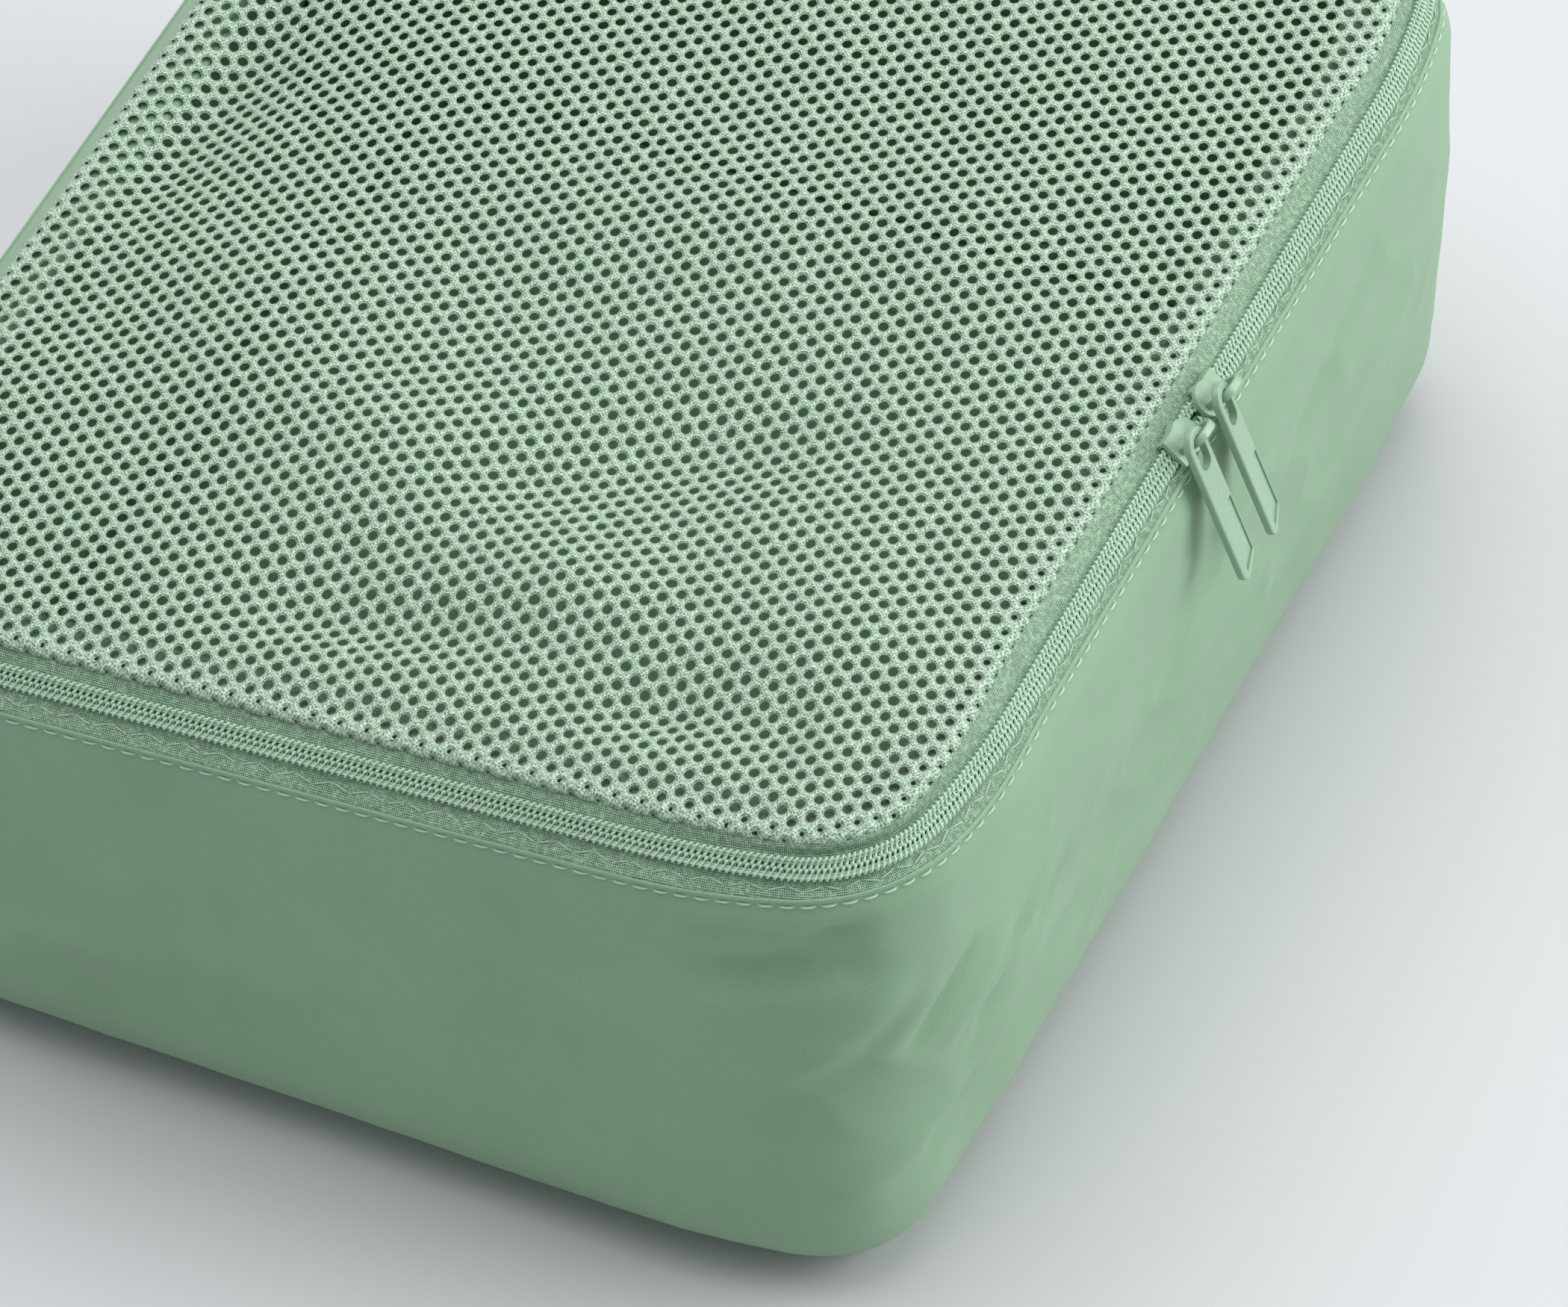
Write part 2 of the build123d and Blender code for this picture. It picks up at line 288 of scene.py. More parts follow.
# ---- materials
class Shader:
    """Small wrapper that builds one node material around a Principled shader."""

    def __init__(self, name, roughness=0.6, **sockets):
        self.material = bpy.data.materials.new(name)
        self.material.use_nodes = True
        self.tree = self.material.node_tree
        self.principled = self.tree.nodes["Principled BSDF"]
        self.set("Roughness", roughness)
        for socket, value in sockets.items():
            self.set(socket.replace("_", " "), value)

    def set(self, socket, value):
        self.principled.inputs[socket].default_value = value

    def node(self, kind, inputs=(), **settings):
        made = self.tree.nodes.new(kind)
        for key, value in settings.items():
            setattr(made, key, value)
        for key, value in dict(inputs).items():
            if isinstance(value, bpy.types.NodeSocket):
                self.tree.links.new(value, made.inputs[key])
            else:
                made.inputs[key].default_value = value
        return made

    def link(self, output, socket):
        self.tree.links.new(output, self.principled.inputs[socket])

    def math(self, operation, a, b=0.0):
        return self.node("ShaderNodeMath", {0: a, 1: b}, operation=operation).outputs[0]

    def uv(self):
        return self.node("ShaderNodeUVMap", uv_map="cloth").outputs[0]

    def place(self):
        return self.node("ShaderNodeTexCoord").outputs["Object"]

    def scaled(self, vector, factors):
        return self.node("ShaderNodeVectorMath", {0: vector, 1: factors}, operation="MULTIPLY").outputs[0]

    def noise(self, vector, scale, detail=3.0, roughness=0.55):
        values = {"Vector": vector, "Scale": scale, "Detail": detail, "Roughness": roughness}
        return self.node("ShaderNodeTexNoise", values).outputs["Fac"]

    def wave(self, vector, scale, direction="X", distortion=0.0):
        values = {"Vector": vector, "Scale": scale, "Distortion": distortion, "Detail": 1.0}
        bands = {"wave_type": "BANDS", "bands_direction": direction}
        return self.node("ShaderNodeTexWave", values, **bands).outputs["Fac"]

    def ramp(self, factor, stops):
        made = self.node("ShaderNodeValToRGB", {0: factor})
        elements = made.color_ramp.elements
        while len(elements) < len(stops):
            elements.new(0.5)
        for element, (position, colour) in zip(elements, stops):
            element.position = position
            element.color = (*colour, 1.0)
        return made.outputs[0]

    def multiply(self, a, b):
        values = {0: 1.0, 6: a, 7: b}
        return self.node("ShaderNodeMix", values, data_type="RGBA", blend_type="MULTIPLY").outputs[2]

    def bump(self, height, distance, strength=1.0):
        made = self.node("ShaderNodeBump", {"Height": height, "Distance": distance, "Strength": strength})
        self.link(made.outputs[0], "Normal")


def tone(colour, factor):
    return tuple(min(1.0, channel * factor) for channel in colour)


NYLON = (0.294, 0.507, 0.314)
KNIT = (0.530, 0.770, 0.570)
TAPE = (0.335, 0.560, 0.365)
PLASTIC = (0.480, 0.680, 0.520)
THREAD = (0.640, 0.880, 0.680)
PAINT = (0.290, 0.460, 0.318)


def nylon_material():
    shader = Shader("fine_nylon", 0.47, Sheen_Weight=0.25, Sheen_Roughness=0.4)
    shader.set("Specular IOR Level", 0.35)
    vector = shader.uv()
    cloudy = shader.noise(shader.place(), 28.0, 4.0)
    grain = shader.noise(vector, 3.6, 2.0)
    body = shader.ramp(cloudy, [(0.3, tone(NYLON, 0.94)), (0.7, tone(NYLON, 1.05))])
    speck = shader.ramp(grain, [(0.36, (0.84, 0.84, 0.84)), (0.62, (1.0, 1.0, 1.0))])
    shader.link(shader.multiply(body, speck), "Base Color")
    warp = shader.wave(vector, 7.0, "X", 0.3)
    weft = shader.wave(vector, 7.0, "Y", 0.3)
    height = shader.math("ADD", shader.math("MULTIPLY", warp, weft), grain)
    shader.bump(height, 0.00008, 0.5)
    return shader.material


def tape_material():
    shader = Shader("woven_tape", 0.78, Sheen_Weight=0.35, Sheen_Roughness=0.5)
    vector = shader.uv()
    across = shader.wave(vector, 0.80, "X", 2.2)
    along = shader.wave(vector, 0.80, "Y", 2.2)
    weave = shader.math("MULTIPLY", across, along)
    fuzz = shader.noise(shader.place(), 1150.0, 3.0, 0.75)
    height = shader.math("ADD", weave, shader.math("MULTIPLY", fuzz, 1.25))
    # The colour follows the height of the weave and fuzz: partly the yarn's own uneven tone, partly painted
    # shade in the hollows and painted highlights on the raised threads.
    level = shader.math("MULTIPLY", height, 0.55)
    stops = [(0.34, tone(TAPE, 0.36)), (0.47, tone(TAPE, 0.95)), (0.64, tone(TAPE, 1.75))]
    shader.link(shader.ramp(level, stops), "Base Color")
    shader.bump(height, 0.00026, 1.0)
    return shader.material


def knit_material():
    shader = Shader("warp_knit_mesh", 0.72, Sheen_Weight=0.4, Sheen_Roughness=0.45)
    split = shader.node("ShaderNodeSeparateXYZ", {0: shader.uv()})
    around, outward = split.outputs[0], split.outputs[1]
    rings = shader.math("SINE", shader.math("MULTIPLY", outward, 2 * math.pi * 2.0))
    slant = shader.math("MULTIPLY", outward, 7.0)
    turns = shader.math("ADD", shader.math("MULTIPLY", around, 2 * math.pi * 14), slant)
    stitches = shader.math("SINE", turns)
    ring_part = shader.math("MULTIPLY", rings, 0.45)
    loops = shader.math("ADD", ring_part, shader.math("MULTIPLY", stitches, 0.55))
    fuzz = shader.math("SUBTRACT", shader.noise(shader.place(), 2300.0, 2.0, 0.7), 0.5)
    height = shader.math("ADD", loops, shader.math("MULTIPLY", fuzz, 4.0))
    # The colour follows the loops' height: painted shade in the gaps between the loops and painted
    # highlights on their tops.
    level = shader.math("ADD", shader.math("MULTIPLY", height, 0.28), 0.5)
    stops = [(0.16, tone(KNIT, 0.26)), (0.5, tone(KNIT, 0.96)), (0.8, tone(KNIT, 1.32))]
    shader.link(shader.ramp(level, stops), "Base Color")
    shader.bump(height, 0.00014, 1.0)
    return shader.material


def plain_material(name, colour, roughness, bump=0.00002, scale=900.0, **sockets):
    shader = Shader(name, roughness, **sockets)
    grain = shader.noise(shader.place(), scale, 3.0)
    cloudy = shader.noise(shader.place(), 60.0, 2.0)
    body = shader.ramp(cloudy, [(0.3, tone(colour, 0.95)), (0.7, tone(colour, 1.05))])
    speck = shader.ramp(grain, [(0.3, (0.88, 0.88, 0.88)), (0.7, (1.0, 1.0, 1.0))])
    shader.link(shader.multiply(body, speck), "Base Color")
    shader.bump(grain, bump, 0.6)
    return shader.material


def thread_material():
    shader = Shader("sewing_thread", 0.55, Sheen_Weight=0.3)
    twist = shader.wave(shader.scaled(shader.uv(), (8.0, 2.0, 1.0)), 1.0, "DIAGONAL", 0.0)
    colour = shader.ramp(twist, [(0.1, tone(THREAD, 0.72)), (0.7, THREAD)])
    shader.link(colour, "Base Color")
    shader.bump(twist, 0.00006, 0.8)
    return shader.material


nylon = nylon_material()
tape = tape_material()
knit = knit_material()
plastic = plain_material("coil_monofilament", PLASTIC, 0.38)
paint = plain_material("satin_paint", PAINT, 0.36, 0.000012, 1500.0, Coat_Weight=0.15)
binding = plain_material("binding_ribbon", tone(TAPE, 0.85), 0.8, 0.00006, 1400.0)
thread = thread_material()

# ---- wall cloth
wall_thickness = 0.6
base_radius = 19.0
right_tuck = 5.0  # the right wall leans in towards its base
bottom_gap = 0.3
stitch_line = 1.45
hem_step = 0.55
hem_start = 0.2
hem_rise = 2.0  # on the right side the hem covers more of the tape
corner_hem_rise = 1.5
hem_reach = 6.0  # the rows stay close together this far below the folded edge
column_step = 1.5
row_step = 1.8
cut_height = 101.0
broad_swell, medium_swell, crease_height = 0.9, 0.7, 0.7
fold_strength = 1.6
# the cloth is almost smooth round the back right corner
taut_corner, taut_reach, taut_share = 130, 26, 0.85
# how the cloth dips at its folded edge and its stitches: depth, distance down, width
HEM_DIPS = [(0.35, 0, 0.22), (0.28, stitch_line, 0.55)]
top_lean, top_lean_reach, hem_lean_reach = 0.35, 45.0, 9.0
bottom_columns, bottom_rings = 300, 40
bottom_overlap, bottom_swell = 0.2, 0.5

# soft folds on the wall: start and end (distance along the outline, height), width, depth
WALL_FOLDS = [
    (-160, 90, -138, 95, 2.6, 0.9),
    (-158, 86, -140, 90, 2.2, -0.8),
    (-146, 84, -124, 93, 3.0, -1.6),
    (-148, 80, -133, 91, 1.8, 0.7),
    (-158, 76, -124, 85, 4.4, -1.9),
    (-160, 68, -128, 80, 3.4, 0.8),
    (-150, 48, -118, 78, 4.2, 1.5),
    (-126, 58, -112, 74, 3.0, 0.8),
    (-119, 58, -101, 74, 2.2, -1.1),
    (-112, 54, -90, 70, 2.6, 1.0),
    (-104, 46, -84, 66, 2.2, -0.7),
    (-99, 55, -70, 70, 1.7, 0.9),
    (-88, 50, -66, 62, 1.6, -0.6),
    (-118, 36, -76, 52, 4.0, 0.9),
    (-100, 24, -56, 34, 2.4, 0.8),
    (-124, 24, -96, 40, 4.5, -0.8),
    (-135, 26, -112, 34, 4.0, 0.8),
    (-70, 30, 10, 44, 4.0, 0.7),
    (-60, 52, 30, 70, 3.6, -0.6),
    (-40, 62, 40, 82, 3.0, 0.6),
    (0, 30, 80, 52, 4.5, 0.7),
    (20, 60, 70, 84, 3.2, -0.6),
    (-200, 72, -168, 60, 5.0, 0.7),
    (-250, 40, -190, 52, 7.0, 0.8),
    (-300, 70, -250, 58, 6.0, -0.7),
    (-290, 30, -240, 40, 6.0, 0.7),
    (100, 80, 128, 60, 3.0, -0.3),
    (118, 90, 150, 66, 3.2, 0.2),
    (140, 50, 200, 66, 5.0, 0.9),
    (220, 70, 280, 52, 5.0, -0.9),
    (300, 84, 330, 58, 3.0, 1.3),
    (318, 80, 350, 50, 2.6, -1.2),
    (-330, 78, -300, 54, 2.8, 1.2),
    (-350, 76, -318, 48, 2.6, -1.1),
]


def fold_relief(s, z):
    """Sum of soft folds: each a ridge or valley that fades towards both of its ends."""
    total = np.zeros(np.broadcast(s, z).shape)
    for s0, z0, s1, z1, width, depth in WALL_FOLDS:
        run = np.array([s1 - s0, z1 - z0])
        length = np.hypot(*run)
        run = run / length
        t = ((s - s0) * run[0] + (z - z0) * run[1]) / length
        aside = (s - s0) * -run[1] + (z - z0) * run[0]
        fade = np.clip(1 - np.abs(2 * np.clip(t, -0.25, 1.25) - 1) ** 2.5, 0, 1)
        total += depth * fade * bump_at(aside, 0, width)
    return total


def wall_relief(s, z, top):
    """How far the filled wall stands out from its plain shape."""
    level = np.clip(z / top, 0, 1)
    held = np.sin(np.pi * level ** 1.1)
    tuck = -right_lean(s) * (1 - smooth_step(z, 0.0, 0.75 * top))
    broad = broad_swell * soft_noise(s, z * 1.3, 55.0, 3) * held
    medium = medium_swell * soft_noise(s * 0.8 + z * 0.6, z * 1.6, 19.0, 5) * held
    crumple = 1 - np.abs(soft_noise(s + z * 0.5, z * 1.2 - s * 0.15, 24.0, 8))
    creases = crease_height * (crumple ** 6) * held
    folds = fold_strength * fold_relief(s, z) * smooth_step(top - z, 2.0, 9.0)
    calm = 1 - taut_share * bump_at(s, taut_corner, taut_reach)
    return tuck + calm * (broad + medium + creases + folds)


def right_side(s):
    """1 along the straight of the right side, falling to 0 in its corners."""
    return 1 - smooth_step(np.abs(s), 70.0, 104.0)


def right_lean(s):
    """How far the wall stands in at its foot: only the right side does."""
    return right_tuck * right_side(s * 0.8)


def hem_along(s):
    """Place up the slope of the wall's folded edge."""
    beside = 1 - np.maximum(smooth_step(-s, 70.0, 104.0), smooth_step(s, 112.0, 150.0))
    return hem_start + hem_rise * beside + corner_hem_rise * corner_weight(s)


def wall_surface(s, rows_down):
    """Outer face of the wall cloth from its folded top edge down and in under the base."""
    plan, normal = route(s)
    top = shoulder(s, hem_along(s), hem_step)
    height = top[:, 2]
    upright = height - base_radius
    curl = base_radius * math.pi / 2
    down = rows_down[:, None] / rows_down[-1]
    near_top = np.minimum(rows_down[:, None], hem_reach)
    hem_share = hem_reach / rows_down[-1]
    below_hem = np.maximum(down - hem_share, 0) / (1 - hem_share)
    distance = near_top + below_hem * (upright + curl - hem_reach)
    angle = np.clip((distance - upright) / base_radius, 0, math.pi / 2)
    z = np.where(distance < upright, height - distance, base_radius * (1 - np.sin(angle)))
    inset = base_radius * (1 - np.cos(angle))
    z = z + bottom_gap * smooth_step(-z, -base_radius, 0)
    relief = wall_relief(np.broadcast_to(s, z.shape), z, height)
    dips = sum(depth * bump_at(distance, down, width) for depth, down, width in HEM_DIPS)
    out = relief - dips - inset
    far_lean = smooth_step(z, height - top_lean_reach, height) * top_lean
    lean = np.maximum(far_lean, smooth_step(z, height - hem_lean_reach, height))
    start = plan + (top[:, :2] - plan) * lean[..., None]
    outer = start + normal * out[..., None]
    points = np.concatenate([outer, z[..., None]], -1)
    place = np.stack([np.broadcast_to(s, z.shape), distance], -1)
    return points, place


def wall_rows():
    """Distance of each row of wall points below the folded edge."""
    hem_rows = np.array([0, 0.2, 0.45, 0.75, 1.1, 1.45, 1.8, 2.2, 2.8, 3.6, 4.6, hem_reach])
    return np.concatenate([hem_rows, np.arange(hem_reach + row_step, cut_height, row_step)])


def make_walls():
    """The band round three sides and a half, and the hinge side between its two seams."""
    seam = half_route - hinge_half
    far_seam = seam + 2 * hinge_half
    band_columns = int(round(2 * seam / column_step)) + 1
    hinge_columns = int(2 * hinge_half / column_step) + 1
    for name, node, first, last, columns, height in (
        ("wall_cloth", "wall_band", -seam, seam, band_columns, 0.101),
        ("hinge_wall_cloth", "hinge_panel", seam, far_seam, hinge_columns, 0.086),
    ):
        points, place = wall_surface(np.linspace(first, last, columns), wall_rows())
        piece = cloth_strip(name, points[::-1], wall_thickness, nylon, place[::-1])
        seat(piece, "case", node, "wall_nylon", flat=(height, (last - first) * MM),
             held="stretched", rests_on=["bottom_panel"])


def make_bottom():
    """Bottom cloth: it lies almost flat and joins the walls along its edge."""
    columns = bottom_columns
    s = np.linspace(-half_route, half_route, columns, endpoint=False)
    shares = np.linspace(1, 0, bottom_rings) ** 0.8
    _, normal = route(s)
    walls, _ = wall_surface(s, wall_rows())
    edge = walls[-1, :, :2] + normal * bottom_overlap
    rings = edge[None] * shares[:, None, None]
    swell = bottom_swell * (1 + soft_noise(rings[..., 0], rings[..., 1], 40.0, 21))
    lift = bottom_gap + swell * smooth_step(1 - shares, 0.02, 0.2)[:, None]
    outer = np.concatenate([rings, lift[..., None]], -1)
    quads = grid_quads(len(shares), columns, wrap=True)
    inner = outer + np.array([0, 0, wall_thickness])
    count = len(shares) * columns
    ring = np.arange(columns)
    following = (ring + 1) % columns
    rim = np.stack([ring, ring + count, following + count, following], 1)
    faces = np.concatenate([quads[:, ::-1], quads + count, rim[:, ::-1]])
    vertices = np.concatenate([outer.reshape(-1, 3), inner.reshape(-1, 3)])
    uv = vertices[faces.ravel(), :2]
    panel = make_piece("bottom_cloth", vertices, faces.tolist(), nylon, uv)
    merge_close(panel, 0.02)
    seat(panel, "case", "bottom_panel", "wall_nylon", flat=(0.198, 0.242), held="laid",
         rests_on=["wall_cloth"])


def merge_close(piece, distance):
    """Merge the piece's points that lie closer than a distance in millimetres."""
    mesh = bmesh.new()
    mesh.from_mesh(piece.data)
    bmesh.ops.remove_doubles(mesh, verts=mesh.verts, dist=distance * MM)
    mesh.to_mesh(piece.data)
    mesh.free()
    piece.data.update()


make_walls()
make_bottom()

# ---- mesh lid
hole_pitch = 3.75
column_pitch = 2.5
hole_half = (0.84, 0.92)
yarn_half = 0.40
rim_hole_share = 0.42  # the holes close up where the cloth is rolled over
lip_level = 0.12  # the hole's edge lies this far over the middle of the cloth
rim_inset = 9.2
rim_level = 9.9
rim_roll = 1.1
rim_drop = 0.4
roll_angle = 2.4
tuck_inward, tuck_down = 0.8, 0.25
right_rim_shift = 1.3  # the lid cloth starts further in on the right side
corner_rim_shift = 1.0  # and further out round the front right corner
rim_point_step = 0.5
hidden_hem = 4.5
lid_crown = 3.0
hole_size_spread, hole_place_spread, yarn_ripple = 0.05, 0.06, 0.10
corner_share = 0.97  # of the cut cloth's rectangle, whose corners are rounded off
CELL_POINTS = 10


def lid_height(x, y):
    """Height of the filled lid cloth over the fold plane, away from its rim."""
    across = np.clip(np.abs(x) / (half_width - rim_inset), 0, 1)
    along = np.clip(np.abs(y) / (half_length - rim_inset), 0, 1)
    crown = lid_crown * (1 - across ** 4) * (1 - along ** 4)
    lumps = 1.3 * soft_noise(x, y, 52.0, 31) + 0.6 * soft_noise(x, y, 24.0, 33)
    held = smooth_step(np.minimum(1 - across, 1 - along), 0.0, 0.16)
    total = rim_level + crown + lumps * held
    for centre_x, centre_y, reach_x, reach_y, turn, depth in LID_DIPS:
        dx, dy = x - centre_x, y - centre_y
        cosine, sine = math.cos(math.radians(turn)), math.sin(math.radians(turn))
        u = (dx * cosine + dy * sine) / reach_x
        v = (dy * cosine - dx * sine) / reach_y
        total = total + depth * np.exp(-(u * u + v * v)) * np.maximum(held, 0.35)
    return total


# dips and swells of the lid: centre, two reaches, turn in degrees, depth
LID_DIPS = [
    (-88, 6, 15, 30, -12, -5.0),
    (-86, 30, 8, 16, -12, -1.6),
    (34, -45, 26, 11, 22, -3.0),
    (8, -62, 16, 8, 10, -1.6),
    (52, -102, 13, 8, 25, -3.0),
    (-2, -100, 22, 7, 12, -2.6),
    (-16, -92, 12, 8, 40, -1.6),
    (72, -100, 9, 9, 35, -1.8),
    (92, -104, 5, 7, 0, -1.4),
    (-18, -62, 24, 16, 0, 2.2),
    (28, -82, 18, 11, 15, 2.6),
    (74, -78, 15, 20, 0, 2.0),
    (-52, -36, 22, 26, 0, 2.2),
    (-40, 30, 18, 30, 0, 1.4),
    (12, 10, 34, 20, 20, 1.6),
    (62, 20, 20, 30, 0, 1.2),
    (30, 80, 40, 20, 10, 1.4),
]


def rim_inset_at(s):
    """Inset of the rim line from the outline."""
    front_corner = corner_weight(s)
    shift = right_rim_shift * right_side(s)
    return rim_inset + shift * (1 - front_corner) - corner_rim_shift * front_corner


def rim_distance(x, y):
    """Distance inside the lid's rim, and the rim place and normal that each point is nearest to."""
    s = np.arange(-half_route, half_route, rim_point_step)
    plan, normal = route(s)
    rim = plan - normal * rim_inset_at(s)[:, None]
    nearest = np.zeros(len(x), int)
    best = np.full(len(x), 1e9)
    block_size = 200
    for start in range(0, len(s), block_size):
        block = rim[start:start + block_size]
        squares = (x[:, None] - block[None, :, 0]) ** 2 + (y[:, None] - block[None, :, 1]) ** 2
        pick = squares.argmin(1)
        value = squares[np.arange(len(x)), pick]
        better = value < best
        nearest[better] = start + pick[better]
        best[better] = value[better]
    out = normal[nearest]
    inside = -((x - rim[nearest, 0]) * out[:, 0] + (y - rim[nearest, 1]) * out[:, 1])
    return inside, rim[nearest], out


def settled_height(x, y, inside):
    """Height of the lid cloth's middle, which comes level at the rim."""
    settle = smooth_step(inside, 0.0, 7.0)
    return rim_level - rim_drop + (lid_height(x, y) - rim_level + rim_drop) * settle


def under_lid(plan, level, gap):
    """The given level, lowered where needed to stay a gap under the lid cloth."""
    x, y = plan[..., 0].ravel(), plan[..., 1].ravel()
    inside, _, _ = rim_distance(x, y)
    cloth = settled_height(x, y, inside).reshape(plan.shape[:-1]) - yarn_half - gap
    return np.minimum(level, cloth)


def drape_lid(x, y, offset):
    """Flat cloth place to row-frame point; beyond the rim the cloth rolls over and tucks under."""
    inside, rim, out = rim_distance(x, y)
    height = settled_height(x, y, inside)
    top = on_lid(np.stack([x, y], -1), height + offset)
    angle = np.clip(-inside, 0, None) / rim_roll
    angle = np.minimum(angle, roll_angle)
    spare = np.clip(-inside - roll_angle * rim_roll, 0, None)
    radius = rim_roll + offset
    sideways = radius * np.sin(angle) - spare * tuck_inward
    level = rim_level - rim_drop - rim_roll + radius * np.cos(angle) - spare * tuck_down
    rolled = on_lid(rim + out * sideways[:, None], level)
    return np.where((inside >= 0)[:, None], top, rolled)


def lid_cells():
    """Centres of the holes over the whole cut cloth."""
    columns = int(half_width / column_pitch) + 2
    rows = int(half_length / hole_pitch) + 2
    i, j = np.meshgrid(np.arange(-columns, columns + 1), np.arange(-rows, rows + 1), indexing="ij")
    x = i * column_pitch
    y = (j + 0.5 * (i % 2)) * hole_pitch
    return x.ravel(), y.ravel()


def cell_corners():
    """Ten points round one hexagonal cell: its corners and the middles of its four long sides."""
    side = (column_pitch ** 2 - (hole_pitch / 2) ** 2) / (2 * column_pitch)
    corners = [(column_pitch - side, 0.0), (side, hole_pitch / 2), (-side, hole_pitch / 2)]
    corners += [(-x, -y) for x, y in corners]
    points = []
    for k, corner in enumerate(corners):
        after = corners[(k + 1) % 6]
        points.append(corner)
        if corner[1] != after[1]:
            points.append(((corner[0] + after[0]) / 2, (corner[1] + after[1]) / 2))
    return np.array(points)


def cell_rings(x, y, inside):
    """Flat points of every cell's border and of the lip of its hole, for cells at x, y."""
    generator = np.random.default_rng(7)
    spread = 1 + generator.normal(0, hole_size_spread, (len(x), 2))
    shift = generator.normal(0, hole_place_spread, (len(x), 2))
    outer = cell_corners()
    angles = np.arctan2(outer[:, 1], outer[:, 0])
    hole = np.stack([np.cos(angles) * hole_half[0], np.sin(angles) * hole_half[1]], 1)
    open_share = rim_hole_share + (1 - rim_hole_share) * smooth_step(inside, 0.2, 2.4)
    spread *= open_share[:, None]
    border = np.stack([x, y], 1)[:, None] + outer[None]
    lip = np.stack([x, y], 1)[:, None] + shift[:, None] + hole[None] * spread[:, None]
    return border, lip


def cell_faces(count):
    """Faces and uv of the cells: from the upper border over the lip to the lower border."""
    n = count * CELL_POINTS
    base = np.arange(count)[:, None] * CELL_POINTS
    here = base + np.arange(CELL_POINTS)
    after = base + (np.arange(CELL_POINTS) + 1) % CELL_POINTS
    top = np.stack([here, after, after + n, here + n], -1).reshape(-1, 4)
    turn = np.tile(np.arange(CELL_POINTS) / CELL_POINTS, (count, 1))
    turn_after = np.tile((np.arange(CELL_POINTS) + 1) / CELL_POINTS, (count, 1))
    one, zero = np.ones_like(turn), np.zeros_like(turn)
    top_uv = np.stack([turn, one, turn_after, one, turn_after, zero, turn, zero], -1)
    under_uv = np.stack([turn, zero, turn_after, zero, turn_after, one, turn, one], -1)
    uv = np.concatenate([top_uv.reshape(-1, 2), under_uv.reshape(-1, 2)])
    return np.concatenate([top, top + n]), uv


def make_lid_mesh():
    """Open mesh of the lid: one cell with a hole for each loop of the knit."""
    x, y = lid_cells()
    inside, _, _ = rim_distance(x, y)
    keep = inside > -hidden_hem
    border, lip = cell_rings(x[keep], y[keep], inside[keep])
    count = len(border)
    flat = np.concatenate([border.reshape(-1, 2), lip.reshape(-1, 2), border.reshape(-1, 2)])
    n = count * CELL_POINTS
    ripple = yarn_ripple * np.sin(border[..., 0] * 2.1 + border[..., 1] * 1.3).ravel()
    offset = np.concatenate([yarn_half + ripple, np.full(n, lip_level), np.full(n, -yarn_half)])
    points = drape_lid(flat[:, 0], flat[:, 1], offset)
    faces, uv = cell_faces(count)
    lid = make_piece("lid_mesh", points, faces.tolist(), knit, uv)
    merge_close(lid, 0.01)
    hole_area = math.pi * hole_half[0] * hole_half[1]
    net = 1 - hole_area / (hole_pitch * column_pitch)
    width = 2 * (half_width - rim_inset + hidden_hem) * MM
    length = 2 * (half_length - rim_inset + hidden_hem) * MM
    cloth_area = width * length * net * corner_share
    seat(lid, "lid", "lid_mesh_panel", "mesh", flat=(width, length), held="stretched",
         rests_on=["upper_tape"], area=cloth_area)


# ---- zipper
upper_tape_start = 6.8
upper_tape_edge = 12.2
tape_allowance = 8.0
lower_tape_edge = 6.2
lower_tape_width = 11.0
# ridge and groove of the upper tape at the front right corner: height, place, width
CORNER_WAVES = [(1.3, 10.4, 0.9), (-0.5, 9.1, 0.5)]
TAPE_FLAP_DROPS = [5.5, 4.0, 2.6, 1.4, 0.5]  # rows of the part behind the wall
tape_behind_wall = 0.75
coil_outer = 1.86  # the turns' far side, from the middle of the chain
coil_inner, coil_slant = 0.06, 0.50
coil_foot = 4.6  # place up the slope of the lower coil's near side
widest_tape_room = 4.4
open_chain = 0.75  # how far each coil stands aside between the sliders
wire_radius, wire_flank_swell, wire_head_swell = 0.19, 0.07, 0.14
wire_bed, wire_crest, wire_dip = 0.26, 0.94, 0.62
COIL_CORDS = [(0.95, 0.45, 0.24), (1.42, 0.52, 0.28)]  # place outward, height, radius
wall_thread, wall_thread_lift = 0.25, 0.24
tape_thread, tape_thread_turn, tape_thread_lean = 0.14, 3.4, 1.15


def strip_surface(s, alongs, above, relief):
    """Grid of points on the shoulder, lifted by a relief function of place."""
    grid_s, grid_along = np.meshgrid(s, alongs)
    lift = above + relief(grid_s, grid_along)
    return shoulder(grid_s, grid_along, lift), np.stack([grid_s, grid_along], -1)


def with_allowance(s, points, place):
    """Add to a grid the inner part that lies level under the lid cloth's edge."""
    grid_s, inward = np.meshgrid(s, np.linspace(0.8, tape_allowance, 8))
    plan, normal = route(grid_s)
    start = shoulder_inset + upper_tape_edge / ROOT2
    level = upper_tape_edge / ROOT2 - 0.05 * inward + 0.15 * soft_noise(grid_s, inward * 3, 10.0, 47)
    spot = plan - normal * (start + inward)[..., None]
    more = on_lid(spot, under_lid(spot, level, 0.15))
    more_place = np.stack([grid_s, upper_tape_edge + inward], -1)
    return np.concatenate([points, more]), np.concatenate([place, more_place])


def route_columns(step):
    """Evenly spaced places along the whole zipper."""
    end = half_route - hinge_half
    return np.linspace(-end, end, int(round(2 * end / step)) + 1)


def upper_tape_relief(s, along):
    """Where the front right corner pushes the upper tape into a ridge, and its slight waves."""
    pushed = sum(height * bump_at(along, place, width) for height, place, width in CORNER_WAVES)
    wobble = 0.18 * soft_noise(s, along * 3, 14.0, 41)
    return pushed * corner_weight(s) + wobble


